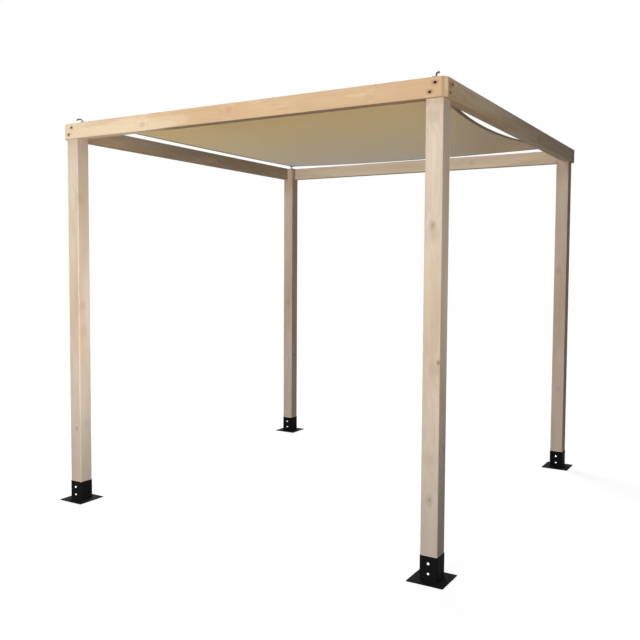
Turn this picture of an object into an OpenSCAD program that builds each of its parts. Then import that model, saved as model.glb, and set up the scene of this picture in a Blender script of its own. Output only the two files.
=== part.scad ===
// Free-standing wooden pergola: four notched posts in steel shoes carry a frame of
// mitred beams, and a cloth canopy is stretched between hooks on the post tops. Webbing loops
// at the canopy's corners hold the rings that go over the hooks.
// X runs left to right, Y from front to back, Z up. The origin is on the ground, in the middle.

/* [Frame] */
// Width over the left and right beams
frame_w = 2580; // [2000:10:4000]
// Depth over the front and back beams
frame_d = 2580; // [2000:10:4000]
// Height of the beam tops above the ground
frame_h = 2400; // [2000:10:3000]

/* [Posts] */
// Width of a square post
post_w = 90; // [75:1:140]
// Radius of a post's long edges
post_edge = 5; // [1:0.5:10]
// Depth of the notch for a beam, in from a post's outer face
notch_depth = 40; // [25:1:55]

/* [Beams] */
// Thickness of a beam
beam_t = 60; // [45:1:90]
// Height of a beam
beam_h = 95; // [70:1:160]
// Radius of a beam's long edges
beam_edge = 3; // [1:0.5:8]
// Length taken off each outer face where a corner of the frame is cut
corner_cut = 24; // [4:1:40]
// Diameter of the bores for the two screws at each end of a beam
bore_d = 12; // [6:0.5:14]
// Depth of the bores
bore_depth = 10; // [5:1:30]
// Sideways distance of a bore from the middle of its pair
bore_side = 13; // [0:1:16]
// Height of a bore above or below the middle of the beam
bore_rise = 21; // [12:1:26]
// Distance of a pair of bores from the middle of the post, towards the inside
bore_in = 4; // [0:1:15]

/* [Shoes] */
// Side of a shoe's square base plate
plate_w = 190; // [140:1:260]
// Thickness of a base plate
plate_t = 4; // [2:0.5:10]
// Radius of a base plate's corners
plate_corner = 3; // [1:0.5:15]
// Height of a shoe's sleeve above its plate
sleeve_h = 120; // [80:1:200]
// Wall of a sleeve
sleeve_wall = 2; // [1.5:0.5:5]
// Space between a sleeve and its post
sleeve_gap = 0.5; // [0.2:0.1:2]
// Diameter of the screw holes in a sleeve's front and back walls
hole_d = 9; // [5:0.5:14]
// Height of the lower screw hole above the plate
hole_low = 34; // [15:1:40]
// Distance between the two screw holes of a wall
hole_pitch = 50; // [20:1:70]

/* [Hooks] */
// Diameter of a hook's rod
hook_rod = 9; // [4:0.5:10]
// Height of a hook above the post top
hook_h = 42; // [35:1:60]
// Reach of a hook's arm out from the middle of its shank, towards the corner
hook_reach = 36; // [30:1:60]
// Radius of a hook's two bends, along the middle of its rod
hook_bend = 9; // [7:0.5:12]
// Angle through which a hook's tip turns down
hook_turn = 70; // [30:5:90]
// Diameter of the collar that seats a hook on the post
collar_d = 18; // [12:1:26]
// Thickness of the collar
collar_t = 2.5; // [1:0.5:5]
// Diameter of the screw under the collar
screw_d = 5.5; // [3:0.5:8]
// Length of the screw in the post
screw_l = 45; // [20:1:80]
// Space round the screw in its pilot hole
screw_gap = 0.1; // [0.05:0.05:0.5]

/* [Rings] */
// Width of a D-shaped ring between the middles of its legs
ring_w = 36; // [36:1:50]
// Length of the straight legs between a ring's bow and its lower bends
ring_leg = 2; // [1:1:12]
// Radius of the bends at the ends of a ring's bar, along the middle of its wire
ring_bend = 5; // [4:0.5:5]
// Diameter of a ring's wire
ring_wire = 4; // [2:0.5:6]
// Distance of a ring below the bend of its hook
ring_drop = 7; // [0.5:0.5:12]
// Running space between a ring and its hook
ring_gap = 0.3; // [0.1:0.1:1]

/* [Loops] */
// Width of the webbing
loop_w = 24; // [14:1:24]
// Thickness of the webbing
loop_t = 2; // [1:0.5:3]
// Length of a loop over the canopy's corner
loop_l = 70; // [40:1:90]
// Space between a loop, its ring and the canopy
loop_gap = 0.5; // [0.3:0.1:1]

/* [Canopy] */
// Thickness of the canopy
canopy_t = 4; // [1:0.5:6]
// How far each edge curves in between its corners
canopy_bow = 140; // [40:5:260]
// How far the middle of an edge hangs below the corners
edge_dip = 40; // [0:1:60]
// How far the middle of the canopy hangs below the corners
centre_dip = 52; // [0:1:90]

/* [Hidden] */
$fn = 48;
proud = beam_t - notch_depth;
post_x = frame_w / 2 - proud - post_w / 2;
post_y = frame_d / 2 - proud - post_w / 2;
shoulder_z = frame_h - beam_h;
sleeve_in = post_w + 2 * sleeve_gap;
sleeve_out = sleeve_in + 2 * sleeve_wall;
sleeve_corner = post_edge + sleeve_gap;
tongue_mid = -notch_depth / 2;
arm_z = hook_h - hook_rod / 2;
bow_r = ring_w / 2;
bow_x = hook_rod / 2 + ring_gap + ring_wire / 2 - bow_r;
bar_x = bow_x - ring_leg - ring_bend;
ring_z = arm_z - hook_bend - ring_drop - ring_wire / 2;
loop_bore = max(ring_wire, canopy_t) + 2 * loop_gap;
tip_x = bar_x - loop_bore / 2;
canopy_x = post_x + tongue_mid + tip_x / sqrt(2);
canopy_y = post_y + tongue_mid + tip_x / sqrt(2);
canopy_z = frame_h + ring_z;
canopy_steps = 16;
corner_step = canopy_point(1, 1, 0) - canopy_point(1 - 2 / canopy_steps, 1 - 2 / canopy_steps, 0);
loop_tilt = atan2(corner_step[2], norm([corner_step[0], corner_step[1]]));
overrun = 1;
wood = "#d9c4a2";
beam_wood = "#e3c69c";
black_steel = "#1c1c1d";
zinc = "#8f9294";
cloth = "#ab9c74";
webbing = "#8f8262";

// Rectangle centred on the origin, with round corners
module round_rect(w, h, r) {
    square([w - 2 * r, h], center = true);
    square([w, h - 2 * r], center = true);
    for (x = [-1, 1], y = [-1, 1]) {
        translate([x * (w / 2 - r), y * (h / 2 - r)]) circle(r);
    }
}

// Places what is drawn for the back right post at the corner on sides sx and sy
module at_corner(sx, sy) {
    mirror([sx < 0 ? 1 : 0, 0, 0])
        mirror([0, sy < 0 ? 1 : 0, 0])
            translate([post_x, post_y, 0]) children();
}

// Places what is drawn with +X pointing outwards on the tongue of a post top
module on_post_top(sx, sy) {
    at_corner(sx, sy)
        translate([tongue_mid, tongue_mid, frame_h])
            rotate([0, 0, 45]) children();
}

// Square post whose top is notched on both outer sides, leaving a tongue at its inner corner
module post(sx, sy) {
    cut = post_w + overrun;
    color(wood) at_corner(sx, sy) difference() {
        translate([0, 0, plate_t])
            linear_extrude(frame_h - plate_t) round_rect(post_w, post_w, post_edge);
        translate([post_w / 2 - notch_depth, -cut / 2, shoulder_z]) cube([cut, cut, beam_h + overrun]);
        translate([-cut / 2, post_w / 2 - notch_depth, shoulder_z]) cube([cut, cut, beam_h + overrun]);
        translate([tongue_mid, tongue_mid, frame_h - screw_l - screw_gap])
            cylinder(d = screw_d + 2 * screw_gap, h = screw_l + screw_gap + overrun);
    }
}

// Beam along X with its outer face at -Y, mitred at both ends, with its share of the cut corners
// and a slanted pair of screw bores at each end
module beam(length, half_depth) {
    half = length / 2;
    outer = -half_depth;
    middle_z = shoulder_z + beam_h / 2;
    pair_x = half - proud - post_w / 2 - bore_in;
    outline = [
        [-half + corner_cut, outer],
        [half - corner_cut, outer],
        [half - corner_cut / 2, outer + corner_cut / 2],
        [half - beam_t, outer + beam_t],
        [-half + beam_t, outer + beam_t],
        [-half + corner_cut / 2, outer + corner_cut / 2]
    ];
    color(beam_wood) difference() {
        intersection() {
            translate([-half, outer + beam_t / 2, middle_z])
                rotate([90, 0, 90]) linear_extrude(length) round_rect(beam_t, beam_h, beam_edge);
            translate([0, 0, shoulder_z - overrun]) linear_extrude(beam_h + 2 * overrun) polygon(outline);
        }
        for (end = [-1, 1], up = [-1, 1]) {
            translate([end * pair_x + up * bore_side, outer - overrun, middle_z + up * bore_rise])
                rotate([-90, 0, 0]) cylinder(d = bore_d, h = bore_depth + overrun);
        }
    }
}

// Steel shoe: a base plate with a square sleeve welded on it, drilled for the post's screws
module shoe(sx, sy) {
    color(black_steel) at_corner(sx, sy) {
        linear_extrude(plate_t) round_rect(plate_w, plate_w, plate_corner);
        translate([0, 0, plate_t]) difference() {
            linear_extrude(sleeve_h) difference() {
                round_rect(sleeve_out, sleeve_out, sleeve_corner + sleeve_wall);
                round_rect(sleeve_in, sleeve_in, sleeve_corner);
            }
            for (z = [hole_low, hole_low + hole_pitch]) {
                translate([0, 0, z]) rotate([90, 0, 0])
                    cylinder(d = hole_d, h = sleeve_out + 2 * overrun, center = true);
            }
        }
    }
}

// Screw hook driven into a post's tongue down to its collar, with its arm towards the outer corner
// and its tip turned down
module hook(sx, sy) {
    turn_x = hook_reach - hook_rod / 2 - hook_bend * sin(hook_turn);
    color(zinc) on_post_top(sx, sy) {
        translate([0, 0, -screw_l]) cylinder(d = screw_d, h = screw_l + collar_t);
        cylinder(d = collar_d, h = collar_t);
        cylinder(d = hook_rod, h = arm_z - hook_bend);
        translate([hook_bend, 0, arm_z - hook_bend]) rotate([90, 0, 0]) rotate([0, 0, 90])
            rotate_extrude(angle = 90) translate([hook_bend, 0]) circle(d = hook_rod);
        translate([hook_bend, 0, arm_z]) rotate([0, 90, 0]) cylinder(d = hook_rod, h = turn_x - hook_bend);
        translate([turn_x, 0, arm_z - hook_bend]) rotate([90, 0, 0]) rotate([0, 0, 90 - hook_turn]) {
            rotate_extrude(angle = hook_turn) translate([hook_bend, 0]) circle(d = hook_rod);
            translate([hook_bend, 0, 0]) sphere(d = hook_rod);
        }
    }
}

// D-shaped ring: its bow goes round a hook's shank and its bar lies towards the canopy
module ring(sx, sy) {
    bar = ring_w - 2 * ring_bend;
    color(zinc) on_post_top(sx, sy) translate([bow_x, 0, ring_z]) {
        rotate([0, 0, -90]) rotate_extrude(angle = 180) translate([bow_r, 0]) circle(d = ring_wire);
        for (side = [0, 1]) mirror([0, side, 0]) {
            translate([0, bow_r, 0]) rotate([0, -90, 0]) cylinder(d = ring_wire, h = ring_leg);
            translate([-ring_leg, bow_r - ring_bend, 0]) rotate([0, 0, 90])
                rotate_extrude(angle = 90) translate([ring_bend, 0]) circle(d = ring_wire);
        }
        translate([-ring_leg - ring_bend, 0, 0]) rotate([90, 0, 0])
            cylinder(d = ring_wire, h = bar, center = true);
    }
}

// Strip of webbing folded round a ring's bar, with a ply above and a ply below the canopy's corner
module loop(sx, sy) {
    fold = loop_bore + 2 * loop_t;
    color(webbing) on_post_top(sx, sy)
        translate([bar_x, loop_w / 2, ring_z]) rotate([90, 0, 0]) rotate([0, 0, loop_tilt])
            linear_extrude(loop_w) difference() {
                union() {
                    circle(d = fold);
                    translate([-loop_l, -fold / 2]) square([loop_l, fold]);
                }
                circle(d = loop_bore);
                translate([-loop_l - overrun, -loop_bore / 2]) square([loop_l + overrun, loop_bore]);
            }
}

// Point of the canopy for u and v from -1 to 1: the edges curve in as parabolas, and the
// height falls from the corners to the middle of each edge and on to the centre
function canopy_point(u, v, lift) = [
    u * (canopy_x - canopy_bow * (1 - v * v)),
    v * (canopy_y - canopy_bow * (1 - u * u)),
    canopy_z + lift - centre_dip + (centre_dip - edge_dip) * (u * u + v * v)
        + (2 * edge_dip - centre_dip) * u * u * v * v
];

// Canopy: two like surfaces, one canopy thickness apart, closed along the four edges
module canopy() {
    n = canopy_steps;
    row = n + 1;
    sheet = row * row;
    points = [
        for (lift = [canopy_t / 2, -canopy_t / 2], j = [0 : n], i = [0 : n])
            canopy_point(2 * i / n - 1, 2 * j / n - 1, lift)
    ];
    // each cell is split along the diagonal that runs towards the nearest corner of the canopy
    upper = [
        for (j = [0 : n - 1], i = [0 : n - 1])
            let (c = j * row + i)
                each (i < n / 2) == (j < n / 2)
                    ? [[c, c + row, c + row + 1], [c, c + row + 1, c + 1]]
                    : [[c, c + row, c + 1], [c + 1, c + row, c + row + 1]]
    ];
    lower = [for (f = upper) [f[2] + sheet, f[1] + sheet, f[0] + sheet]];
    rim = concat(
        [for (i = [0 : n - 1]) i],
        [for (j = [0 : n - 1]) j * row + n],
        [for (i = [n : -1 : 1]) n * row + i],
        [for (j = [n : -1 : 1]) j * row]
    );
    last = len(rim);
    sides = [
        for (k = [0 : last - 1])
            let (a = rim[k], b = rim[(k + 1) % last])
                each [[a, b, b + sheet], [a, b + sheet, a + sheet]]
    ];
    color(cloth) polyhedron(points, concat(upper, lower, sides));
}

post(-1, -1);  // post_front_left
post(1, -1);  // post_front_right
post(-1, 1);  // post_back_left
post(1, 1);  // post_back_right
beam(frame_w, frame_d / 2);  // beam_front
rotate([0, 0, 180]) beam(frame_w, frame_d / 2);  // beam_back
rotate([0, 0, -90]) beam(frame_d, frame_w / 2);  // beam_left
rotate([0, 0, 90]) beam(frame_d, frame_w / 2);  // beam_right
shoe(-1, -1);  // shoe_front_left
shoe(1, -1);  // shoe_front_right
shoe(-1, 1);  // shoe_back_left
shoe(1, 1);  // shoe_back_right
hook(-1, -1);  // hook_front_left
hook(1, -1);  // hook_front_right
hook(-1, 1);  // hook_back_left
hook(1, 1);  // hook_back_right
ring(-1, -1);  // ring_front_left
ring(1, -1);  // ring_front_right
ring(-1, 1);  // ring_back_left
ring(1, 1);  // ring_back_right
loop(-1, -1);  // loop_front_left
loop(1, -1);  // loop_front_right
loop(-1, 1);  // loop_back_left
loop(1, 1);  // loop_back_right
canopy();
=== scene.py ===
"""Looks of a free-standing wooden pergola: planed softwood, powder-coated shoes, zinc-plated
fittings, screws, and a taut cloth canopy with its hem, patches, stitching and webbing loops."""
from math import atan2, cos, hypot, pi, radians, sin

import bpy
import numpy as np
from bpy.props import FloatProperty, FloatVectorProperty, PointerProperty
from mathutils import Euler, Matrix, Vector


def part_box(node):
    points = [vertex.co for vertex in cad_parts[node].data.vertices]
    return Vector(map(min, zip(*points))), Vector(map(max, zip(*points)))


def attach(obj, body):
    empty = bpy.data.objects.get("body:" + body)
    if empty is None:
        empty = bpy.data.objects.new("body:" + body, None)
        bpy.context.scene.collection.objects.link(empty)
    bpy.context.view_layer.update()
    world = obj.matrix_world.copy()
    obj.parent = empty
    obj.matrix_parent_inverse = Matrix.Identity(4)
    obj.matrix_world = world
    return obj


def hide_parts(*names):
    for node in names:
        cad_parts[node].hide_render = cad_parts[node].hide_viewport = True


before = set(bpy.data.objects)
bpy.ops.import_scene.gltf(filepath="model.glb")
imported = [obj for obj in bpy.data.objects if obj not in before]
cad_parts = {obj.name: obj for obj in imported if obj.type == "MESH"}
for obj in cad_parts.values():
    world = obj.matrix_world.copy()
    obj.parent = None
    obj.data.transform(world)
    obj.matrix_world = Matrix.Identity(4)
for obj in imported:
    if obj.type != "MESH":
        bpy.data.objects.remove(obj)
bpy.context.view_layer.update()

bl_info = {
    "name": "Wooden pergola",
    "version": (1, 0, 0),
    "blender": (4, 5, 0),
    "location": "View3D > Sidebar > Pergola",
    "description": "Finishes, fastenings and stretched canopy of a wooden pergola",
    "category": "Object",
}

MM = 0.001
CORNERS = {
    "front_left": (-1, -1),
    "front_right": (1, -1),
    "back_left": (-1, 1),
    "back_right": (1, 1),
}
POST_LOW, POST_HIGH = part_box("post_back_right")
POST_X = (POST_LOW.x + POST_HIGH.x) / 2
POST_Y = (POST_LOW.y + POST_HIGH.y) / 2
BEAM_LOW, BEAM_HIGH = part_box("beam_front")
BEAM_OUT, BEAM_IN = -BEAM_LOW.y, -BEAM_HIGH.y
BEAM_MIDDLE = (BEAM_LOW.z + BEAM_HIGH.z) / 2
RING_LOW, RING_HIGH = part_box("ring_back_right")
RING_MIDDLE = (RING_LOW.z + RING_HIGH.z) / 2
SHEET_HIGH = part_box("canopy")[1]
DIAGONAL = 2 ** 0.5


def linear(code):
    """Linear red, green and blue of an sRGB hex colour."""
    value = np.array([int(code[i:i + 2], 16) for i in (1, 3, 5)]) / 255
    return tuple(np.where(value <= 0.04045, value / 12.92, ((value + 0.055) / 1.055) ** 2.4))


def colour(code, name, description):
    """A colour property whose default is an sRGB hex value."""
    return FloatVectorProperty(
        name=name, description=description, default=linear(code), size=3, subtype="COLOR", min=0, max=1
    )


def length(millimetres, name, description):
    """A length property whose default is given in millimetres."""
    return FloatProperty(
        name=name, description=description, default=millimetres * MM, min=0, unit="LENGTH", subtype="DISTANCE"
    )


def power(watts, name, description):
    """A lamp's power in watts."""
    return FloatProperty(name=name, description=description, default=watts, min=0, unit="POWER")


class PergolaWood(bpy.types.PropertyGroup):
    """Tones of the planed softwood"""

    post_cream: colour("#E6D6C3", "Post cream", "Palest tone of the posts")
    post_beige: colour("#DDC9B3", "Post beige", "Middle tone of the posts")
    post_rose: colour("#D4BDA8", "Post rose", "Pinkish tone of the posts")
    beam_cream: colour("#F0D9B8", "Beam cream", "Palest tone of the beams")
    beam_honey: colour("#DDBC94", "Beam honey", "Middle tone of the beams")
    beam_amber: colour("#DAB791", "Beam amber", "Deep tone of the beams")
    beam_dun: colour("#C6AF93", "Beam dun", "Middle tone of the left beam")
    beam_brown: colour("#BAA286", "Beam brown", "Deepest tone of the left beam")
    beam_pale: colour("#F5DFC4", "Beam pale", "Palest tone of the back and right beams")
    latewood: colour("#B4916C", "Latewood", "Dark line at the end of each growth ring")
    end_grain: colour("#B99570", "End grain", "Sawn ends, where the fibres drink in dirt")
    # painted shade: the darker grey mixed into the lowest metre of the posts
    painted_shade_grey: colour("#A49D96", "Weathered", "Grey of the posts' feet, where rain splashes up")
    smudge: colour("#A99886", "Smudge", "Overgrown knot that shows as a soft grey patch")
    knot: colour("#8B5F40", "Knot", "Heart of an open knot")
    bark: colour("#46301F", "Knot ring", "Dark ring round an open knot")
    resin: colour("#D98B58", "Resin", "Reddish wood full of resin")
    ring_width: length(9, "Ring width", "Distance between growth rings")


class PergolaFittings(bpy.types.PropertyGroup):
    """Sizes and colours of the steel and the screws"""

    black: colour("#0C0C0D", "Powder coat", "Matt black of the shoes")
    dust: colour("#161617", "Dust", "Paler film on the powder coat")
    zinc: colour("#6C6254", "Zinc", "Dull zinc plating of the hooks and rings")
    bright: colour("#EDEDEB", "Bright zinc", "Zinc plating of the shoe screws")
    dark: colour("#1E1611", "Dark steel", "Blackened steel of the beam screws")
    shoe_head: length(14, "Shoe screw head", "Diameter of a shoe screw's head")
    shoe_dome: length(3.2, "Shoe screw dome", "Height of a shoe screw's head")
    shoe_wall: length(47.5, "Shoe wall", "Distance of a sleeve's outer face from the middle of its post")
    shoe_low: length(38, "Lower shoe screw", "Height of the lower shoe screw above the ground")
    shoe_pitch: length(50, "Shoe screw pitch", "Distance between a wall's two screws")
    beam_head: length(11.6, "Beam screw head", "Diameter of a beam screw's head")
    beam_dome: length(0.8, "Beam screw dome", "Height of a beam screw's head")
    beam_sink: length(4, "Beam screw depth", "Depth of a beam screw's head in its bore")
    beam_side: length(13, "Beam screw offset", "Sideways distance of a screw from the middle of its pair")
    beam_rise: length(21, "Beam screw rise", "Height of a screw above or below the middle of its pair")
    beam_in: length(4, "Beam pair inset", "Distance of a pair from the middle of the post")


class PergolaCanopy(bpy.types.PropertyGroup):
    """Sizes and colours of the stretched canopy"""

    cloth: colour("#B9A686", "Cloth", "Tan of the canopy's yarn")
    cloth_pale: colour("#C6B596", "Pale yarn", "Paler yarn of the canopy")
    through: colour("#E6D7B6", "Light through", "Tint of the daylight that comes through at the front")
    # painted light: the glow through the cloth turns greyer towards the back
    painted_grey_light: colour("#D2CFCA", "Bleached", "Tint of the daylight that comes through at the back")
    # painted shade: the glow through the cloth turns dimmer towards the right
    painted_shade: colour("#C9BEAF", "Shaded", "Tint of the daylight that comes through at the right")
    webbing: colour("#A08F6E", "Webbing", "Colour of the webbing loops")
    thread: colour("#D6C8A8", "Thread", "Colour of the sewing thread")
    bow: length(140, "Edge curve", "How far each edge curves in between its corners")
    edge_dip: length(40, "Edge dip", "How far the middle of an edge hangs below the corners")
    centre_dip: length(52, "Centre dip", "How far the middle hangs below the corners")
    thickness: length(1.2, "Cloth thickness", "Thickness of the cloth")
    hem: length(24, "Hem", "Width of the folded hem")
    stitch: length(6, "Stitch", "Length of a stitch")
    patch: length(130, "Corner patch", "Length of a corner patch along each edge")
    pucker: length(2.2, "Puckers", "Height of the tension folds that start at the corners")
    loop_width: length(24, "Loop width", "Width of the webbing")
    loop_thickness: length(2, "Loop thickness", "Thickness of the webbing")
    loop_bore: length(5, "Loop bore", "Room between the two plies of a loop")
    loop_reach: length(70, "Loop reach", "Length of a loop over the canopy's corner")


class PergolaStage(bpy.types.PropertyGroup):
    """Camera, lights and floor"""

    camera_place: FloatVectorProperty(
        name="Camera", description="Place of the camera", default=(2.6311, -4.6102, 1.5182), unit="LENGTH"
    )
    camera_turn: FloatVectorProperty(
        name="Camera turn", description="Heading, tilt and roll of the camera", subtype="EULER",
        default=(radians(30.342), radians(-3.07), radians(0.371)), unit="ROTATION",
    )
    lens: FloatProperty(
        name="Lens", description="Focal length on a 36 mm sensor", default=42.734, unit="CAMERA"
    )
    shift: FloatVectorProperty(
        name="Shift", description="Shift of the lens, in widths of the frame", size=2,
        default=(-0.0184, -0.0202),
    )
    key: power(45, "Key light", "Power of the high light over the front")
    fill: power(468, "Fill light", "Power of the wide front light")
    side: power(10.2, "Side light", "Power of the small light on the right")
    strip: power(7.5, "Strip light", "Power of the upright light between the front posts")
    back: power(560, "Back light", "Power of the high light behind on the left")
    sky: FloatProperty(
        name="Sky", description="Strength of the even light from all round", default=0.075, min=0
    )
    floor: colour("#666562", "Floor", "Tone of the floor that lights the object from below")


class PergolaSettings(bpy.types.PropertyGroup):
    """All settings of the pergola"""

    wood: PointerProperty(type=PergolaWood)
    fittings: PointerProperty(type=PergolaFittings)
    canopy: PointerProperty(type=PergolaCanopy)
    stage: PointerProperty(type=PergolaStage)


def settings():
    """The pergola's settings on the open scene."""
    return bpy.context.scene.pergola


def add_node(tree, kind, inputs=(), stops=(), **values):
    """Adds a node: values are its settings, inputs its sockets (linked or set), stops its ramp's colours."""
    node = tree.nodes.new(kind)
    for key, value in values.items():
        setattr(node, key, value)
    for key, value in dict(inputs).items():
        if isinstance(value, bpy.types.NodeSocket):
            tree.links.new(value, node.inputs[key])
        else:
            node.inputs[key].default_value = value
    if stops:
        ramp = node.color_ramp.elements
        while len(ramp) < len(stops):
            ramp.new(1)
        for element, (position, tone) in zip(ramp, stops):
            element.position = position
            element.color = tone
    return node.outputs


def new_material(name):
    """An empty node material: itself, its tree, its Principled shader and its texture coordinates."""
    material = bpy.data.materials.new(name)
    material.use_nodes = True
    tree = material.node_tree
    return material, tree, tree.nodes["Principled BSDF"], add_node(tree, "ShaderNodeTexCoord")


def finish_shader(tree, shader, **inputs):
    """Links or sets the shader's sockets, named with underscores for spaces."""
    for key, value in inputs.items():
        socket = shader.inputs[key.replace("_", " ")]
        if isinstance(value, bpy.types.NodeSocket):
            tree.links.new(value, socket)
        else:
            socket.default_value = value


def solid(tone, alpha=1):
    """A colour with its alpha, for a socket or a ramp's stop."""
    return (*tone, alpha)


def grey(value):
    """A grey for a ramp's stop."""
    return (value, value, value, 1)


GRAIN_TURN = {"X": (0, -pi / 2, 0), "Y": (pi / 2, 0, 0), "Z": (0, 0, 0)}
GRAIN_AXIS = {"X": (1, 0, 0), "Y": (0, 1, 0), "Z": (0, 0, 1)}


def planed_softwood(name, tones, grain, centre, pith, drift, knots, painted_foot_shade=0):
    """Spruce, planed and left bare. The eye sees soft cream, beige and rose patches that drift along the
    board, faint growth-ring lines that run with the grain and bend round the knots, fine fibres, a few
    overgrown or open knots, darker sawn ends, and painted shade that greys and darkens the lowest metre of a
    post, as strongly as the caller asks. Rings are drawn wider than the real 3 mm, and fibres at 4 mm and not
    at 0.3, so that they show."""
    wood = settings().wood
    material, tree, shader, coordinates = new_material(name)
    turn = Euler(GRAIN_TURN[grain])
    start = -(turn.to_matrix() @ Vector(centre))
    local = add_node(tree, "ShaderNodeMapping", {
        "Vector": coordinates["Object"], "Location": start, "Rotation": turn})[0]

    # distance from each knot in its own radii
    away = []
    for place, radius, *_ in knots:
        spot = turn.to_matrix() @ Vector(place) + start
        stretch = Vector((1, 1, 0.7)) / (radius * MM)
        moved = add_node(tree, "ShaderNodeMapping", {
            "Vector": local, "Location": -spot * stretch, "Scale": stretch})[0]
        away.append(add_node(tree, "ShaderNodeVectorMath", {0: moved}, operation="LENGTH")["Value"])
    nearest = away[0]
    for other in away[1:]:
        nearest = add_node(tree, "ShaderNodeMath", {0: nearest, 1: other}, operation="MINIMUM")[0]

    # growth rings round the pith, which wander and swell round the knots
    drawn = add_node(tree, "ShaderNodeMapping", {"Vector": local, "Scale": (1, 1, 0.07)})[0]
    wander = add_node(tree, "ShaderNodeTexNoise", {"Vector": drawn, "Scale": 1 / (70 * MM), "Detail": 2})[0]
    swell = add_node(tree, "ShaderNodeMapRange", {
        "Value": nearest, "From Min": 0, "From Max": 4.5, "To Min": 11 * MM, "To Max": 0},
        interpolation_type="SMOOTHSTEP")[0]
    heart = add_node(tree, "ShaderNodeMapping", {
        "Vector": local, "Location": (-pith[0], -pith[1], 0), "Scale": (1, 1, 0)})[0]
    radius = add_node(tree, "ShaderNodeVectorMath", {0: heart}, operation="LENGTH")["Value"]
    bent = add_node(tree, "ShaderNodeMath", {0: wander, 1: 35 * MM, 2: swell}, operation="MULTIPLY_ADD")[0]
    out = add_node(tree, "ShaderNodeMath", {0: radius, 1: bent}, operation="ADD")[0]
    count = add_node(tree, "ShaderNodeMath", {0: out, 1: wood.ring_width}, operation="DIVIDE")[0]
    phase = add_node(tree, "ShaderNodeMath", {0: count}, operation="FRACT")[0]
    late = add_node(tree, "ShaderNodeValToRGB", {"Fac": phase}, stops=[
        (0, grey(0)), (0.45, grey(0.12)), (0.86, grey(0.75)), (0.93, grey(1)), (1, grey(0))])[0]

    # slow patches of tone, then rings and fibres over them
    wide, long = 1 / (125 * MM), 1 / (625 * MM)
    patches = add_node(tree, "ShaderNodeMapping", {"Vector": local, "Scale": (wide, wide, long)})[0]
    patch = add_node(tree, "ShaderNodeTexNoise", {
        "Vector": patches, "Scale": 1, "Detail": 3, "Roughness": 0.6})[0]
    along = add_node(tree, "ShaderNodeSeparateXYZ", {0: local})["Z"]
    slope = add_node(tree, "ShaderNodeMath", {0: along, 1: drift, 2: patch}, operation="MULTIPLY_ADD")[0]
    base = add_node(tree, "ShaderNodeValToRGB", {"Fac": slope}, stops=[
        (0.32, solid(tones[0])), (0.5, solid(tones[1])), (0.68, solid(tones[2]))])[0]
    line = add_node(tree, "ShaderNodeMath", {0: late, 1: 0.16}, operation="MULTIPLY")[0]
    look = add_node(tree, "ShaderNodeMix", {0: line, 6: base, 7: solid(wood.latewood)}, data_type="RGBA")[2]
    wide, long = 1 / (4 * MM), 1 / (200 * MM)
    strands = add_node(tree, "ShaderNodeMapping", {"Vector": local, "Scale": (wide, wide, long)})[0]
    fibre = add_node(tree, "ShaderNodeTexNoise", {
        "Vector": strands, "Scale": 1, "Detail": 4, "Roughness": 0.62})[0]
    streak = add_node(tree, "ShaderNodeMapRange", {
        "Value": fibre, "From Min": 0.35, "From Max": 0.75, "To Min": 0, "To Max": 0.13})[0]
    look = add_node(tree, "ShaderNodeMix", {0: streak, 6: look, 7: solid(wood.latewood)}, data_type="RGBA")[2]

    # painted shade greys and darkens the last metre above the ground
    if painted_foot_shade:
        low = add_node(tree, "ShaderNodeMapRange", {
            "Value": along, "From Min": -0.1, "From Max": -1.1, "To Min": 0, "To Max": painted_foot_shade},
            interpolation_type="SMOOTHSTEP")[0]
        look = add_node(tree, "ShaderNodeMix", {
            0: low, 6: look, 7: solid(wood.painted_shade_grey)}, data_type="RGBA")[2]

    # overgrown knots are soft grey patches, open ones have a dark ring, resin is a reddish patch; the open
    # mark also paints shade in and round each beam screw's bore
    marks = {
        "overgrown": [
            (0.1, solid(wood.smudge, 1)), (0.3, solid(wood.smudge, 0.6)), (0.36, solid(wood.smudge, 0.75)),
            (0.95, solid(wood.smudge, 0)),
        ],
        "open": [
            (0, solid(wood.knot, 1)), (0.26, solid(wood.knot, 0.8)), (0.34, solid(wood.bark, 0.9)),
            (0.44, solid(wood.knot, 0.45)), (0.9, solid(wood.latewood, 0)),
        ],
        "resin": [(0.2, solid(wood.resin, 1)), (0.5, solid(wood.resin, 0.8)), (0.9, solid(wood.resin, 0))],
    }
    for distance, (_, _, strength, kind) in zip(away, knots):
        ragged = add_node(tree, "ShaderNodeMath", {
            0: wander, 1: 0.8, 2: distance}, operation="MULTIPLY_ADD")[0]
        near = add_node(tree, "ShaderNodeMath", {0: ragged, 1: 0.4}, operation="MULTIPLY")[0]
        mark = add_node(tree, "ShaderNodeValToRGB", {"Fac": near}, stops=marks[kind])
        share = add_node(tree, "ShaderNodeMath", {0: mark["Alpha"], 1: strength}, operation="MULTIPLY")[0]
        look = add_node(tree, "ShaderNodeMix", {0: share, 6: look, 7: mark["Color"]}, data_type="RGBA")[2]

    # sawn ends face along the grain
    facing = add_node(tree, "ShaderNodeVectorMath", {
        0: coordinates["Normal"], 1: GRAIN_AXIS[grain]}, operation="DOT_PRODUCT")["Value"]
    end = add_node(tree, "ShaderNodeMapRange", {
        "Value": add_node(tree, "ShaderNodeMath", {0: facing}, operation="ABSOLUTE")[0],
        "From Min": 0.85, "From Max": 0.97, "To Min": 0, "To Max": 0.5})[0]
    look = add_node(tree, "ShaderNodeMix", {0: end, 6: look, 7: solid(wood.end_grain)}, data_type="RGBA")[2]
    relief = add_node(tree, "ShaderNodeMath", {0: late, 1: 0.35, 2: fibre}, operation="MULTIPLY_ADD")[0]
    bump = add_node(tree, "ShaderNodeBump", {"Height": relief, "Strength": 0.25, "Distance": 0.6 * MM})[0]
    rough = add_node(tree, "ShaderNodeMapRange", {"Value": fibre, "To Min": 0.58, "To Max": 0.76})[0]
    finish_shader(tree, shader, Base_Color=look, Roughness=rough, Normal=bump, Specular_IOR_Level=0.12)
    return material


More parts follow.
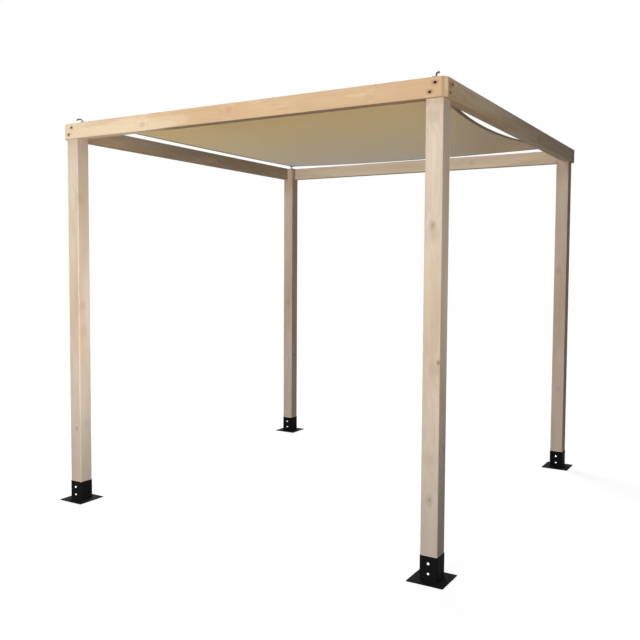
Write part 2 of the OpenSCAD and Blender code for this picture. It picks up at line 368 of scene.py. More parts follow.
def powder_coated_steel():
    """Steel with a baked matt black powder coat. The eye sees a soft, broken highlight from the
    fine orange-peel grain, drawn at 2 mm, and a film of dust that dulls it in patches."""
    made = settings().fittings
    material, tree, shader, coordinates = new_material("matt black powder-coated steel")
    place = coordinates["Object"]
    peel = add_node(tree, "ShaderNodeTexNoise", {"Vector": place, "Scale": 1 / (2 * MM), "Detail": 2})[0]
    film = add_node(tree, "ShaderNodeTexNoise", {"Vector": place, "Scale": 1 / (36 * MM), "Detail": 4})[0]
    tone = add_node(tree, "ShaderNodeMix", {
        0: film, 6: solid(made.black), 7: solid(made.dust)}, data_type="RGBA")[2]
    rough = add_node(tree, "ShaderNodeMapRange", {"Value": film, "To Min": 0.65, "To Max": 0.85})[0]
    bump = add_node(tree, "ShaderNodeBump", {"Height": peel, "Strength": 0.3, "Distance": 0.3 * MM})[0]
    finish_shader(tree, shader, Base_Color=tone, Roughness=rough, Normal=bump, Specular_IOR_Level=0.05)
    return material


def plated_steel(name, tone, roughness, spangle):
    """Steel with a thin metal coating. The eye sees a satin metal whose crystals, a millimetre or
    so across, differ a little in tone and gloss."""
    material, tree, shader, coordinates = new_material(name)
    cells = add_node(tree, "ShaderNodeTexVoronoi", {"Vector": coordinates["Object"], "Scale": 1 / spangle})
    pick = add_node(tree, "ShaderNodeSeparateColor", {0: cells["Color"]})[0]
    lit = add_node(tree, "ShaderNodeMix", {
        0: pick, 6: solid(tone), 7: solid(0.75 * np.array(tone))}, data_type="RGBA")[2]
    rough = add_node(tree, "ShaderNodeMapRange", {
        "Value": cells["Distance"], "To Min": roughness - 0.05, "To Max": roughness + 0.08})[0]
    finish_shader(tree, shader, Base_Color=lit, Roughness=rough, Metallic=1.0)
    return material


def woven_cloth(name, tone, pale, yarn, slub, share=0):
    """Plain woven polyester yarn. The eye sees an even tan with fine crossing yarns, some of them paler for a
    hand's breadth, and a share of the daylight glowing through, tinted by the yarn, with painted light that
    makes it greyer towards the back and painted shade that makes it dimmer along the right side. Yarns are
    drawn at three times the real 0.8 mm so that they show."""
    material, tree, shader, coordinates = new_material(name)
    shades = []
    for scale in ((1 / yarn, 1 / slub, 1), (1 / slub, 1 / yarn, 1)):
        run = add_node(tree, "ShaderNodeMapping", {"Vector": coordinates["UV"], "Scale": scale})[0]
        shades.append(add_node(tree, "ShaderNodeTexNoise", {"Vector": run, "Scale": 1, "Detail": 1})[0])
    both = add_node(tree, "ShaderNodeMath", {0: shades[0], 1: shades[1]}, operation="ADD")[0]
    blend = add_node(tree, "ShaderNodeMapRange", {"Value": both, "From Min": 0.7, "From Max": 1.3})[0]
    mixed = add_node(tree, "ShaderNodeMix", {0: blend, 6: solid(tone), 7: solid(pale)}, data_type="RGBA")[2]
    threads = add_node(tree, "ShaderNodeMapping", {
        "Vector": coordinates["UV"], "Scale": (2 * pi / yarn, 2 * pi / yarn, 1)})[0]
    parts = add_node(tree, "ShaderNodeSeparateXYZ", {0: threads})
    waves = [add_node(tree, "ShaderNodeMath", {0: parts[i]}, operation="SINE")[0] for i in (0, 1)]
    weave = add_node(tree, "ShaderNodeMath", {0: waves[0], 1: waves[1]}, operation="MULTIPLY")[0]
    bump = add_node(tree, "ShaderNodeBump", {"Height": weave, "Strength": 0.35, "Distance": 0.4 * MM})[0]
    finish_shader(tree, shader, Base_Color=mixed, Roughness=0.85, Normal=bump, Specular_IOR_Level=0.2,
                  Sheen_Weight=0.15)
    if share:
        made = settings().canopy
        place = add_node(tree, "ShaderNodeSeparateXYZ", {0: coordinates["Object"]})
        # painted light: back greys the glow towards the back of the canopy
        back = add_node(tree, "ShaderNodeMapRange", {"Value": place["Y"], "From Min": -1, "From Max": 1.1})[0]
        # painted shade: right dims the glow towards the right, a little sooner at the back
        slant = add_node(tree, "ShaderNodeMath", {
            0: place["Y"], 1: 0.35, 2: place["X"]}, operation="MULTIPLY_ADD")[0]
        right = add_node(tree, "ShaderNodeMapRange", {"Value": slant, "From Min": 0.6, "From Max": 1.05})[0]
        tint_and_painted_light = add_node(tree, "ShaderNodeMix", {
            0: back, 6: solid(made.through), 7: solid(made.painted_grey_light)}, data_type="RGBA")[2]
        tint_and_painted_light = add_node(tree, "ShaderNodeMix", {
            0: right, 6: tint_and_painted_light, 7: solid(made.painted_shade)}, data_type="RGBA")[2]
        glow = add_node(tree, "ShaderNodeBsdfTranslucent", {"Color": tint_and_painted_light, "Normal": bump})[0]
        lit = add_node(tree, "ShaderNodeMixShader", {0: share, 1: shader.outputs[0], 2: glow})[0]
        tree.links.new(lit, tree.nodes["Material Output"].inputs["Surface"])
    return material


def dress(node, material):
    """Gives a CAD node its finish."""
    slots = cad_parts[node].data.materials
    slots.clear()
    slots.append(material)


def grid_faces(rows, columns, around=False):
    """Quads of a grid whose points are numbered row by row; around joins the last column to the first."""
    row = np.arange(rows - 1)[:, None] * columns
    column = np.arange(columns if around else columns - 1)[None, :]
    after = (column + 1) % columns
    corners = [row + column, row + after, row + columns + after, row + columns + column]
    return np.stack(corners, -1).reshape(-1, 4)


def tube_faces(rows, columns):
    """Faces of a closed tube: its quads and one face on each end. The columns turn anticlockwise about the
    way that the rows run, so that every face points outwards."""
    ring = np.arange(columns)
    return [grid_faces(rows, columns, around=True), np.stack([ring[::-1], (rows - 1) * columns + ring])]


def repeat_faces(faces, count, points):
    """The same faces for each of several like shapes whose points follow one another."""
    step = points * np.arange(count)[:, None, None]
    return [(kind[None] + step).reshape(-1, kind.shape[1]) for kind in faces]


def make_piece(name, points, faces, material, uv=None, wall=0):
    """Makes a smooth mesh at the origin from its points and faces, with cloth coordinates in metres and
    a wall's thickness where they are given, and rides it on the frame."""
    mesh = bpy.data.meshes.new(name)
    listed = [face for kind in faces for face in kind.tolist()]
    mesh.from_pydata(np.reshape(points, (-1, 3)).tolist(), [], listed)
    mesh.polygons.foreach_set("use_smooth", np.ones(len(mesh.polygons), bool))
    if uv is not None:
        layer = mesh.uv_layers.new(name="cloth")
        order = np.concatenate([np.ravel(kind) for kind in faces])
        layer.data.foreach_set("uv", np.reshape(uv, (-1, 2))[order].ravel())
    mesh.materials.append(material)
    piece = bpy.data.objects.new(name, mesh)
    bpy.context.scene.collection.objects.link(piece)
    if wall:
        skin = piece.modifiers.new("thickness", "SOLIDIFY")
        skin.thickness = wall
        skin.offset = 0
    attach(piece, "root")
    return piece


def unit(vectors):
    """The same vectors, one unit long."""
    return vectors / np.linalg.norm(vectors, axis=-1, keepdims=True)


def screw_heads(diameter, dome, places, normals):
    """Screw heads: a profile of radius and height turned through the angle. It climbs the rim, follows a
    dome inwards, drops down the wall of a six-lobed recess and ends on the recess's floor. The rim is round,
    and the radius blends to the lobes, r times one plus a cosine of six times the angle, at the recess."""
    angle = np.linspace(0, 2 * pi, 36, endpoint=False)
    rim = diameter / 2
    recess, lobe_depth, recess_depth = 0.42, 0.14, 0.75
    lobe = recess * rim * (1 + lobe_depth * np.cos(6 * angle))
    outer = np.array([1, 1, 0.96, 0.85, 0.6, 0.3, 0])[:, None]
    inner = np.array([0.97, 0.75, 0.1])[:, None]
    radius = np.concatenate([lobe + outer * (rim - lobe), inner * lobe])
    height = dome * np.sqrt(np.clip(1 - 0.8 * (radius / rim) ** 2, 0, None))
    # the first ring stands under the wood or steel, and the second is the rim's rounded edge
    height[0] = -0.2 * MM
    height[1] *= 0.6
    height[-2:] -= recess_depth * dome
    shape = np.stack([radius * np.cos(angle), radius * np.sin(angle), height], -1)
    out = np.asarray(normals, float)
    up = np.broadcast_to((0.0, 0.0, 1.0), out.shape)
    axes = np.stack([np.cross(up, out), up, out], -1)
    points = np.einsum("kij,rcj->krci", axes, shape) + np.asarray(places)[:, None, None, :]
    return points, repeat_faces(tube_faces(*radius.shape), len(places), radius.size)


class PERGOLA_OT_posts(bpy.types.Operator):
    """Give the four posts their planed softwood"""

    bl_idname = "pergola.posts"
    bl_label = "Posts"

    def execute(self, context):
        wood = settings().wood
        tones = [wood.post_cream, wood.post_beige, wood.post_rose]
        front, back_inner = -POST_HIGH.y, POST_LOW.y
        left_inner, right = -POST_LOW.x, POST_HIGH.x
        grain_middle = 1.2
        # pith, drift of tone, strength of the painted shade low on the post, and knots: place, radius in mm,
        # strength, kind
        boards = {
            "front_left": ((0.05, 0.09), 0.03, 0.5, [
                ((-1.213, front, 0.468), 9, 0.5, "open"),
                ((left_inner, -1.221, 0.498), 16, 0.35, "overgrown"),
                ((left_inner, -1.25, 1.93), 20, 0.4, "overgrown"),
                ((left_inner, -1.238, 1.258), 14, 0.35, "overgrown"),
                ((left_inner, -1.235, 1.098), 20, 0.3, "overgrown"),
            ]),
            "front_right": ((-0.03, 0.11), 0.02, 0.5, [
                ((1.218, front, 2.225), 18, 0.35, "overgrown"),
                ((1.225, front, 1.713), 12, 0.8, "overgrown"),
                ((1.226, front, 1.717), 4, 0.5, "open"),
                ((1.226, front, 1.668), 20, 0.4, "overgrown"),
                ((1.262, front, 1.065), 8, 0.9, "open"),
                ((1.245, front, 1.03), 22, 0.4, "overgrown"),
                ((1.221, front, 0.597), 18, 0.45, "overgrown"),
                ((1.226, front, 0.398), 12, 0.8, "overgrown"),
                ((1.227, front, 0.402), 4, 0.5, "open"),
                ((right, -1.2, 0.64), 14, 0.5, "overgrown"),
            ]),
            "back_left": ((-0.06, 0.1), 0.14, 0.15, [
                ((-1.22, back_inner, 1.2), 14, 0.4, "overgrown"),
                ((left_inner, 1.23, 0.7), 10, 0.5, "open"),
            ]),
            "back_right": ((0.08, 0.08), 0.06, 0.1, [
                ((1.21, back_inner, 1.5), 14, 0.4, "overgrown"),
                ((1.23, back_inner, 0.6), 12, 0.4, "overgrown"),
            ]),
        }
        for corner, (sx, sy) in CORNERS.items():
            name = f"planed spruce, {corner.replace('_', ' ')} post"
            pith, drift, painted_foot_shade, knots = boards[corner]
            place = (sx * POST_X, sy * POST_Y, grain_middle)
            dress(f"post_{corner}", planed_softwood(name, tones, "Z", place, pith, drift, knots, painted_foot_shade))
        return {"FINISHED"}


def beam_screw_places(out, reach):
    """The four screws of the beam on the side that out points to, at a distance from the frame's middle."""
    made = settings().fittings
    places = []
    for end in (-1, 1):
        for up in (-1, 1):
            run = end * (POST_X - made.beam_in) + up * made.beam_side
            x, y = out[0] * reach - out[1] * run, out[1] * reach + out[0] * run
            places.append((x, y, BEAM_MIDDLE + up * made.beam_rise))
    return places


class PERGOLA_OT_beams(bpy.types.Operator):
    """Give the four beams their planed softwood, with the grain along each one"""

    bl_idname = "pergola.beams"
    bl_label = "Beams"

    def execute(self, context):
        wood = settings().wood
        # grain, outward side, pith, drift of tone, tones, and knots: place, radius in mm, strength, kind
        boards = {
            "front": ("X", (0, -1), (0.02, 0.12), 0.17, [wood.beam_cream, wood.beam_honey, wood.beam_amber], [
                ((-0.609, -BEAM_OUT, 2.34), 12, 0.55, "overgrown"),
                ((0.03, -BEAM_OUT, 2.36), 14, 0.3, "resin"),
                ((0.9, -BEAM_OUT, 2.34), 9, 0.35, "overgrown"),
            ]),
            "back": ("X", (0, 1), (-0.04, -0.1), 0.02, [wood.beam_pale, wood.beam_pale, wood.beam_cream], [
                ((0.5, BEAM_IN, 2.35), 12, 0.35, "overgrown"),
                ((-0.4, BEAM_OUT, 2.36), 12, 0.6, "open"),
            ]),
            "left": ("Y", (-1, 0), (0.1, 0.03), 0.02, [wood.post_rose, wood.beam_dun, wood.beam_brown], [
                ((-BEAM_IN, 0.2, 2.35), 14, 0.5, "overgrown"),
                ((-BEAM_OUT, -0.5, 2.34), 11, 0.6, "open"),
            ]),
            "right": ("Y", (1, 0), (-0.1, 0.02), -0.1, [wood.beam_pale, wood.beam_cream, wood.beam_honey], [
                ((BEAM_OUT, -1.236, 2.365), 14, 0.8, "resin"),
                ((BEAM_OUT, 0.3, 2.34), 14, 0.5, "overgrown"),
            ]),
        }
        for side, (grain, out, pith, drift, tones, knots) in boards.items():
            name = f"planed spruce, {side} beam"
            low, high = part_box(f"beam_{side}")
            # painted shade: a dark open mark in and round each screw's bore
            bore_shade = [(place, 10, 0.85, "open") for place in beam_screw_places(out, BEAM_OUT)]
            dress(f"beam_{side}", planed_softwood(
                name, tones, grain, (low + high) / 2, pith, drift, knots + bore_shade))
        return {"FINISHED"}


class PERGOLA_OT_shoes(bpy.types.Operator):
    """Powder-coat the four shoes"""

    bl_idname = "pergola.shoes"
    bl_label = "Shoes"

    def execute(self, context):
        coat = powder_coated_steel()
        for corner in CORNERS:
            dress(f"shoe_{corner}", coat)
        return {"FINISHED"}


class PERGOLA_OT_hooks(bpy.types.Operator):
    """Plate the hooks and rings with zinc"""

    bl_idname = "pergola.hooks"
    bl_label = "Hooks and rings"

    def execute(self, context):
        zinc = plated_steel("zinc-plated steel, dulled", settings().fittings.zinc, 0.45, 1.5 * MM)
        for corner in CORNERS:
            dress(f"hook_{corner}", zinc)
            dress(f"ring_{corner}", zinc)
        return {"FINISHED"}


class PERGOLA_OT_shoe_screws(bpy.types.Operator):
    """Make the two screws in the front and back wall of each shoe"""

    bl_idname = "pergola.shoe_screws"
    bl_label = "Shoe screws"

    def execute(self, context):
        made = settings().fittings
        places, normals = [], []
        for sx, sy in CORNERS.values():
            for face in (-1, 1):
                for z in (made.shoe_low, made.shoe_low + made.shoe_pitch):
                    places.append((sx * POST_X, sy * POST_Y + face * made.shoe_wall, z))
                    normals.append((0, face, 0))
        points, faces = screw_heads(made.shoe_head, made.shoe_dome, places, normals)
        plating = plated_steel("zinc-plated steel, bright", made.bright, 0.3, 1.2 * MM)
        make_piece("shoe_screws", points, faces, plating)
        return {"FINISHED"}


class PERGOLA_OT_beam_screws(bpy.types.Operator):
    """Make the slanted pair of sunk screws at each end of each beam"""

    bl_idname = "pergola.beam_screws"
    bl_label = "Beam screws"

    def execute(self, context):
        made = settings().fittings
        places, normals = [], []
        for out in ((0, -1), (1, 0), (0, 1), (-1, 0)):
            places += beam_screw_places(out, BEAM_OUT - made.beam_sink)
            normals += [(*out, 0)] * 4
        points, faces = screw_heads(made.beam_head, made.beam_dome, places, normals)
        steel = plated_steel("phosphated steel, blackened", made.dark, 0.6, 1.0 * MM)
        make_piece("beam_screws", points, faces, steel)
        return {"FINISHED"}


HEM_ROWS = 161
HEM_CLEAR, SEAM_CLEAR = 0.018, 0.03
HEM_GAP, HEM_PLY = 0.1 * MM, 0.7 * MM
PATCH_GAP, PATCH_PLY = 0.2 * MM, 0.6 * MM


def hem_level():
    """Distance of the hem's outer faces from the middle of the cloth."""
    return settings().canopy.thickness / 2 + HEM_GAP + HEM_PLY


def canopy_surface(u, v):
    """Point of the canopy for u and v from -1 to 1: the edges curve in as parabolas, the height falls from
    the corners to the edge middles and on to the centre, and low folds fan out from each corner, rise with
    the distance from it and die out again."""
    made = settings().canopy
    x = u * (SHEET_HIGH.x - made.bow * (1 - v * v))
    y = v * (SHEET_HIGH.y - made.bow * (1 - u * u))
    z = RING_MIDDLE - made.centre_dip + (made.centre_dip - made.edge_dip) * (u * u + v * v)
    z = z + (2 * made.edge_dip - made.centre_dip) * u * u * v * v
    side, back = 1 - np.abs(u), 1 - np.abs(v)
    away = np.hypot(side, back)
    fan = np.arctan2(back, side) - pi / 4
    fold = np.sin(9 * fan) * np.cos(2 * fan) ** 2
    rise_over, fade_over = 0.12, 0.28
    z = z + made.pucker * fold * np.exp(-away / fade_over) * np.clip(away / rise_over, 0, 1) ** 2
    return np.stack([x, y, z], -1)


def canopy_frame(u, v):
    """Unit directions along u, along v and out of the top of the canopy, by small steps either way."""
    step = 1e-4
    along = unit(canopy_surface(u + step, v) - canopy_surface(u - step, v))
    across = unit(canopy_surface(u, v + step) - canopy_surface(u, v - step))
    return along, across, unit(np.cross(along, across))


def canopy_edges(count, clear):
    """The four edges as arrays: u, v and the signs of the way in, from clear of one corner to the next."""
    run = np.linspace(-1 + clear, 1 - clear, count)
    one = np.ones(count)
    return [(run, -one, (0, 1)), (one, run, (-1, 0)), (-run, one, (0, -1)), (-one, -run, (1, 0))]


def stitches(points, directions, normals):
    """Stitches as small closed spindles: a flat ellipse that swells and shrinks along the thread."""
    rings = 6
    half_width, half_height = 0.45 * MM, 0.35 * MM
    along = np.linspace(-1, 1, rings)[:, None]
    angle = np.linspace(0, 2 * pi, rings, endpoint=False)[None, :]
    swell = np.sqrt(1.02 - along ** 4)
    shape = np.stack(np.broadcast_arrays(
        along * settings().canopy.stitch / 2,
        half_width * swell * np.cos(angle),
        half_height * swell * np.sin(angle)), -1)
    axes = np.stack([directions, np.cross(normals, directions), normals], -1)
    spindles = np.einsum("kij,rcj->krci", axes, shape) + points[:, None, None, :]
    return spindles, repeat_faces(tube_faces(rings, rings), len(points), rings * rings)


def sewing_thread():
    """Twisted polyester thread. The eye sees pale satin beads, broken by the twist, drawn at 1 mm."""
    material, tree, shader, coordinates = new_material("twisted polyester sewing thread")
    twist = add_node(tree, "ShaderNodeTexNoise", {
        "Vector": coordinates["Object"], "Scale": 1 / (1 * MM), "Detail": 1})[0]
    tone = np.array(settings().canopy.thread)
    shade = add_node(tree, "ShaderNodeMix", {
        0: twist, 6: solid(tone), 7: solid(0.7 * tone)}, data_type="RGBA")[2]
    finish_shader(tree, shader, Base_Color=shade, Roughness=0.65, Sheen_Weight=0.1)
    return material


def loop_axes():
    """Each loop's centre and its directions outwards, upwards and sideways. A loop lies in line with the
    canopy's outermost strip, a sixteenth of its width, and folds round the ring's bar."""
    made = settings().canopy
    near = 1 - 2 / 16
    fall = canopy_surface(1.0, 1.0) - canopy_surface(near, near)
    tilt = atan2(fall[2], hypot(fall[0], fall[1]))
    bar = made.loop_bore / 2 / DIAGONAL
    lift = np.array((0, 0, 1))
    for sx, sy in CORNERS.values():
        out = np.array((sx, sy, 0)) / DIAGONAL
        side = np.array((-sy, sx, 0)) / DIAGONAL
        centre = np.array((sx * (SHEET_HIGH.x + bar), sy * (SHEET_HIGH.y + bar), RING_MIDDLE))
        yield centre, cos(tilt) * out + sin(tilt) * lift, cos(tilt) * lift - sin(tilt) * out, side


class PERGOLA_OT_loops(bpy.types.Operator):
    """Make the webbing loops that join the canopy's corners to their rings"""

    bl_idname = "pergola.loops"
    bl_label = "Webbing loops"

    def execute(self, context):
        made = settings().canopy
        # the tape's middle line runs out on the lower ply, round the bar and back on the upper one
        radius = (made.loop_bore + made.loop_thickness) / 2
        bend = np.linspace(-pi / 2, pi / 2, 13)
        straight = np.linspace(-made.loop_reach, 0, 24, endpoint=False)
        level = np.full(len(straight), radius)
        path = np.concatenate([
            np.stack([straight, -level], -1),
            radius * np.stack([np.cos(bend), np.sin(bend)], -1),
            np.stack([straight[::-1], level], -1),
        ])
        ahead = unit(np.gradient(path, axis=0))
        outward = np.stack([ahead[:, 1], -ahead[:, 0]], -1)
        # its section is a rounded oblong: powers of the cosine and the sine
        turn = -np.linspace(0, 2 * pi, 20, endpoint=False)
        across = np.sign(np.cos(turn)) * np.abs(np.cos(turn)) ** 0.25 * made.loop_width / 2
        through = np.sign(np.sin(turn)) * np.abs(np.sin(turn)) ** 0.5 * made.loop_thickness / 2
        strip = path[:, None] + through[None, :, None] * outward[:, None]
        run = np.concatenate([[0], np.cumsum(np.linalg.norm(np.diff(path, axis=0), axis=1))])
        uv = np.stack(np.broadcast_arrays(run[:, None], across[None, :]), -1)

        loops = [
            centre + strip[..., :1] * axis + strip[..., 1:] * rise + across[None, :, None] * side
            for centre, axis, rise, side in loop_axes()
        ]
        faces = repeat_faces(tube_faces(len(path), len(turn)), 4, len(path) * len(turn))
        tape = woven_cloth("narrow woven polyester webbing", made.webbing, made.cloth, 2 * MM, 30 * MM)
        piece = make_piece("webbing_loops", loops, faces, tape, uv=[uv] * 4)
        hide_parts(*[f"loop_{corner}" for corner in CORNERS])
        return {"FINISHED"}


class PERGOLA_OT_canopy(bpy.types.Operator):
    """Make the stretched canopy with its hem and corner patches"""

    bl_idname = "pergola.canopy"
    bl_label = "Canopy"

    def execute(self, context):
        made = settings().canopy
        yarns = (made.cloth, made.cloth_pale, 2.4 * MM)
        cloth = woven_cloth("woven polyester canopy cloth", *yarns, 90 * MM, share=0.55)
        doubled = woven_cloth("folded polyester canopy cloth", *yarns, 40 * MM, share=0.5)

        # one sheet over the whole span
        count = 129
        v, u = np.meshgrid(np.linspace(-1, 1, count), np.linspace(-1, 1, count), indexing="ij")
        points = canopy_surface(u, v)
        sheet = make_piece("canopy_cloth", points, [grid_faces(count, count)], cloth,
                           uv=points[..., :2], wall=made.thickness)
        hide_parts("canopy")

        # the hem's section wraps the edge: over the top, round the outside and under
        inside, outside = made.thickness / 2 + HEM_GAP, hem_level()
        bend = np.linspace(-pi / 2, pi / 2, 7)
        wrap = np.stack([-np.cos(bend), np.sin(bend)], -1)
        section = np.concatenate([
            [(made.hem, outside), (made.hem / 2, outside)], outside * wrap[::-1],
            [(made.hem / 2, -outside), (made.hem, -outside), (made.hem, -inside), (made.hem / 2, -inside)],
            inside * wrap, [(made.hem / 2, inside), (made.hem, inside)],
        ])
        hems, hem_uv = [], []
        for u, v, way in canopy_edges(HEM_ROWS, HEM_CLEAR):
            along, across, out = canopy_frame(u, v)
            inward = way[0] * along + way[1] * across
            edge = canopy_surface(u, v)
            hems.append(edge[:, None] + section[:, :1] * inward[:, None] + section[:, 1:] * out[:, None])
            run = np.concatenate([[0], np.cumsum(np.linalg.norm(np.diff(edge, axis=0), axis=1))])
            hem_uv.append(np.stack(np.broadcast_arrays(run[:, None], section[:, 0]), -1))
        faces = repeat_faces(tube_faces(HEM_ROWS, len(section)), 4, HEM_ROWS * len(section))
        make_piece("canopy_hem", hems, faces, doubled, uv=hem_uv)

        # triangular patches above and below each corner
        near = made.patch / SHEET_HIGH.x
        reach, turn = np.meshgrid(np.linspace(0.16, 1, 20), np.linspace(0, 1, 21), indexing="ij")
        level = outside + PATCH_GAP + PATCH_PLY / 2
        layers = []
        for sx, sy in CORNERS.values():
            u, v = sx * (1 - near * reach * turn), sy * (1 - near * reach * (1 - turn))
            _, _, out = canopy_frame(u, v)
            layer = canopy_surface(u, v)
            layers += [layer - level * out, layer + level * out]
        faces = repeat_faces([grid_faces(*reach.shape)], len(layers), reach.size)
        make_piece("canopy_patches", layers, faces, doubled,
                   uv=np.array(layers)[..., :2], wall=PATCH_PLY)
        return {"FINISHED"}


def seam_stitches(line, normals, lift, clear=0):
    """Places, ways and normals of stitches along a line on both faces of the cloth: evenly spaced by the run
    along the line, clear of its ends, and lifted off the middle of the cloth."""
    run = np.concatenate([[0], np.cumsum(np.linalg.norm(np.diff(line, axis=0), axis=1))])
    spacing = 1.35 * settings().canopy.stitch
    start = np.arange(clear, run[-1] - clear, spacing)
    seat, ahead, normal = (
        np.stack([np.interp(at, run, path[:, i]) for i in range(3)], -1)
        for at, path in ((start, line), (start + 1 * MM, line), (start, normals)))
    way = unit(ahead - seat)
    return np.concatenate([[seat + face * lift * normal, way, face * normal] for face in (-1, 1)], axis=1)


class PERGOLA_OT_stitching(bpy.types.Operator):
    bl_idname = "pergola.stitching"
    bl_label = "Stitching"

    def execute(self, context):
        made = settings().canopy

        # one row along each hem, just inside its inner edge
        hem_row = 0.82 * made.hem
        seams = []
        for u, v, way in canopy_edges(HEM_ROWS, SEAM_CLEAR):
            along, across, out = canopy_frame(u, v)
            inward = way[0] * along + way[1] * across
            seams.append(seam_stitches(canopy_surface(u, v) + hem_row * inward, out, hem_level(), 6 * MM))

        # one row along the slanting edge of each patch
        near = 0.93 * made.patch / SHEET_HIGH.x
        turn = np.linspace(0.1, 0.9, 40)
        for sx, sy in CORNERS.values():
            u, v = sx * (1 - near * turn), sy * (1 - near * (1 - turn))
            _, _, out = canopy_frame(u, v)
            seams.append(seam_stitches(canopy_surface(u, v), out, hem_level() + PATCH_GAP + PATCH_PLY))

        # a box through both plies of each loop
        inset, box = 4 * MM, 24 * MM
        tail, half = inset - made.loop_reach, made.loop_width / 2 - inset
        head = tail + box
        outline = np.array([(tail, -half), (head, -half), (head, half), (tail, half), (tail, -half)])
        ply = made.loop_bore / 2 + made.loop_thickness
        for centre, axis, rise, side in loop_axes():
            line = centre + outline[:, :1] * axis + outline[:, 1:] * side
            seams.append(seam_stitches(line, np.broadcast_to(rise, line.shape), ply))

        threads, faces = stitches(*np.concatenate(seams, axis=1))
        sewing = make_piece("canopy_stitching", threads, faces, sewing_thread())
        sheet, *others = (bpy.data.objects[name] for name in (
            "canopy_cloth", "canopy_hem", "canopy_patches", "webbing_loops"))
        areas = np.empty(len(sheet.data.polygons))
        sheet.data.polygons.foreach_get("area", areas)
        return {"FINISHED"}


def seen_directly(tree):
    """One for rays from the camera and for what metal and glass show of the background, else nought."""
    rays = add_node(tree, "ShaderNodeLightPath")
    shown = rays["Is Camera Ray"]
    for kind in ("Is Glossy Ray", "Is Transmission Ray"):
        shown = add_node(tree, "ShaderNodeMath", {0: shown, 1: rays[kind]}, operation="MAXIMUM")[0]
    return shown


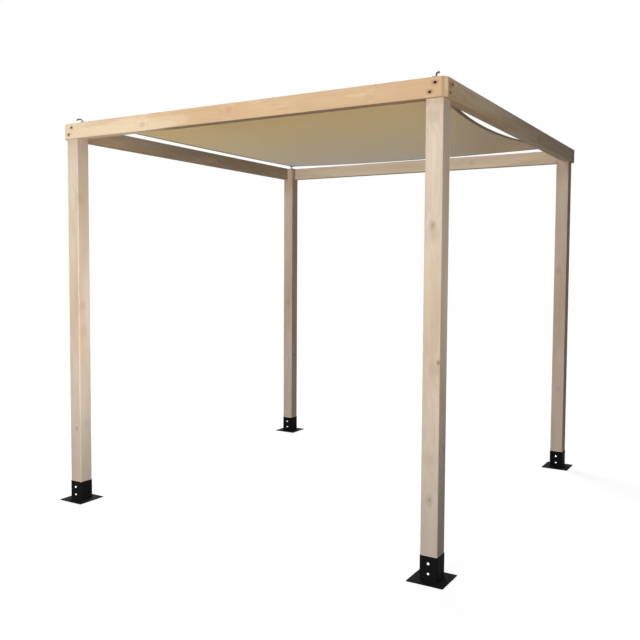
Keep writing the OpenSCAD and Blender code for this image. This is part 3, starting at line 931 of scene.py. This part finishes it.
class PERGOLA_OT_stage(bpy.types.Operator):
    """Set up the pale floor, the soft lights and the camera"""

    bl_idname = "pergola.stage"
    bl_label = "Stage"

    def execute(self, context):
        stage = settings().stage
        scene = context.scene
        scene.view_settings.view_transform = "Standard"

        heading, tilt, roll = stage.camera_turn
        ahead = Vector((-sin(heading) * cos(tilt), cos(heading) * cos(tilt), sin(tilt)))
        right = Vector((cos(heading), sin(heading), 0))
        up = right.cross(ahead)
        axes = Matrix((cos(roll) * right + sin(roll) * up, cos(roll) * up - sin(roll) * right, -ahead))
        lens = bpy.data.cameras.new("camera")
        lens.sensor_width = 36
        lens.lens = stage.lens
        lens.shift_x, lens.shift_y = stage.shift
        camera = bpy.data.objects.new("camera", lens)
        camera.matrix_world = Matrix.Translation(stage.camera_place) @ axes.transposed().to_4x4()
        scene.collection.objects.link(camera)
        scene.camera = camera

        world = bpy.data.worlds.new("white studio")
        scene.world = world
        world.use_nodes = True
        tree = world.node_tree
        strength = add_node(tree, "ShaderNodeMapRange", {
            "Value": seen_directly(tree), "To Min": stage.sky, "To Max": 1})[0]
        sky = tree.nodes["Background"]
        sky.inputs["Color"].default_value = (1, 1, 1, 1)
        tree.links.new(strength, sky.inputs["Strength"])

        for name, energy, place, aim, size in (
            ("key softbox", stage.key, (-0.3, -3.3, 5.3), (0, -0.8, 1.3), (1.2, 1.2)),
            ("fill softbox", stage.fill, (0, -9, 1.9), (0, 0, 1.3), (3, 2)),
            ("side softbox", stage.side, (2.75, -1.6, 1.6), (1.27, -1.225, 1.5), (0.6, 0.6)),
            ("strip softbox", stage.strip, (-0.4, -1.35, 1.05), (-1.2, -1.27, 1.05), (0.3, 1.9)),
            ("back softbox", stage.back, (-4, 4.5, 5.5), (0, 0, 1.6), (3, 3)),
        ):
            lamp = bpy.data.lights.new(name, "AREA")
            lamp.shape = "RECTANGLE"
            lamp.size, lamp.size_y = size
            lamp.energy = energy
            holder = bpy.data.objects.new(name, lamp)
            turn = (Vector(aim) - Vector(place)).to_track_quat("-Z", "Y")
            holder.matrix_world = Matrix.Translation(place) @ turn.to_matrix().to_4x4()
            holder.visible_camera = False
            scene.collection.objects.link(holder)

        # a disc of rings about the origin, closed by one face in the middle
        around = np.linspace(0, 2 * pi, 64, endpoint=False)
        radius = np.array([60, 30, 14, 6, 0.5])[:, None]
        points = np.stack([radius * np.cos(around), radius * np.sin(around), 0 * radius * around], -1)
        rings, spokes = points.shape[:2]
        middle = list(range((rings - 1) * spokes, rings * spokes))
        mesh = bpy.data.meshes.new("floor")
        mesh.from_pydata(
            points.reshape(-1, 3).tolist(), [], [*grid_faces(rings, spokes, around=True).tolist(), middle])
        floor = bpy.data.objects.new("floor", mesh)
        material, tree, shader, coordinates = new_material("plain pale floor")
        finish_shader(tree, shader, Base_Color=solid(stage.floor), Roughness=0.9, Specular_IOR_Level=0.0)
        far = add_node(tree, "ShaderNodeVectorMath", {0: coordinates["Object"]}, operation="LENGTH")["Value"]
        fade = {"Value": far, "From Min": 3, "From Max": 9}
        bright = add_node(tree, "ShaderNodeMapRange", {**fade, "To Min": 0.9, "To Max": 1})[0]
        shade = add_node(tree, "ShaderNodeMapRange", {**fade, "To Min": 0.16, "To Max": 0})[0]
        glow = add_node(tree, "ShaderNodeEmission", {"Strength": bright})[0]
        matt = add_node(tree, "ShaderNodeBsdfDiffuse", {"Color": shade})[0]
        pale = add_node(tree, "ShaderNodeAddShader", {0: glow, 1: matt})[0]
        mixed = add_node(tree, "ShaderNodeMixShader", {
            0: seen_directly(tree), 1: shader.outputs[0], 2: pale})[0]
        tree.links.new(mixed, tree.nodes["Material Output"].inputs["Surface"])
        mesh.materials.append(material)
        scene.collection.objects.link(floor)
        return {"FINISHED"}


class PERGOLA_PT_sidebar(bpy.types.Panel):
    """Steps and settings of the pergola"""

    bl_label = "Pergola"
    bl_idname = "PERGOLA_PT_sidebar"
    bl_space_type = "VIEW_3D"
    bl_region_type = "UI"
    bl_category = "Pergola"

    def draw(self, context):
        for operator in OPERATORS:
            self.layout.operator(operator.bl_idname)
        for group in (PergolaWood, PergolaFittings, PergolaCanopy, PergolaStage):
            box = self.layout.box()
            box.label(text=group.__doc__)
            name = group.__name__.removeprefix("Pergola").lower()
            for key in group.__annotations__:
                box.prop(getattr(settings(), name), key)


OPERATORS = (
    PERGOLA_OT_posts,
    PERGOLA_OT_beams,
    PERGOLA_OT_shoes,
    PERGOLA_OT_hooks,
    PERGOLA_OT_shoe_screws,
    PERGOLA_OT_beam_screws,
    PERGOLA_OT_loops,
    PERGOLA_OT_canopy,
    PERGOLA_OT_stitching,
    PERGOLA_OT_stage,
)
GROUPS = (PergolaWood, PergolaFittings, PergolaCanopy, PergolaStage, PergolaSettings)


def register():
    """Adds the settings, operators and panel to Blender."""
    for item in (*GROUPS, *OPERATORS, PERGOLA_PT_sidebar):
        bpy.utils.register_class(item)
    bpy.types.Scene.pergola = PointerProperty(type=PergolaSettings)


def unregister():
    """Takes them out again."""
    del bpy.types.Scene.pergola
    for item in reversed((*GROUPS, *OPERATORS, PERGOLA_PT_sidebar)):
        bpy.utils.unregister_class(item)


def main():
    """Makes every piece and the stage in order."""
    register()
    for operator in OPERATORS:
        group, step = operator.bl_idname.split(".")
        getattr(getattr(bpy.ops, group), step)()


if __name__ == "__main__":
    main()
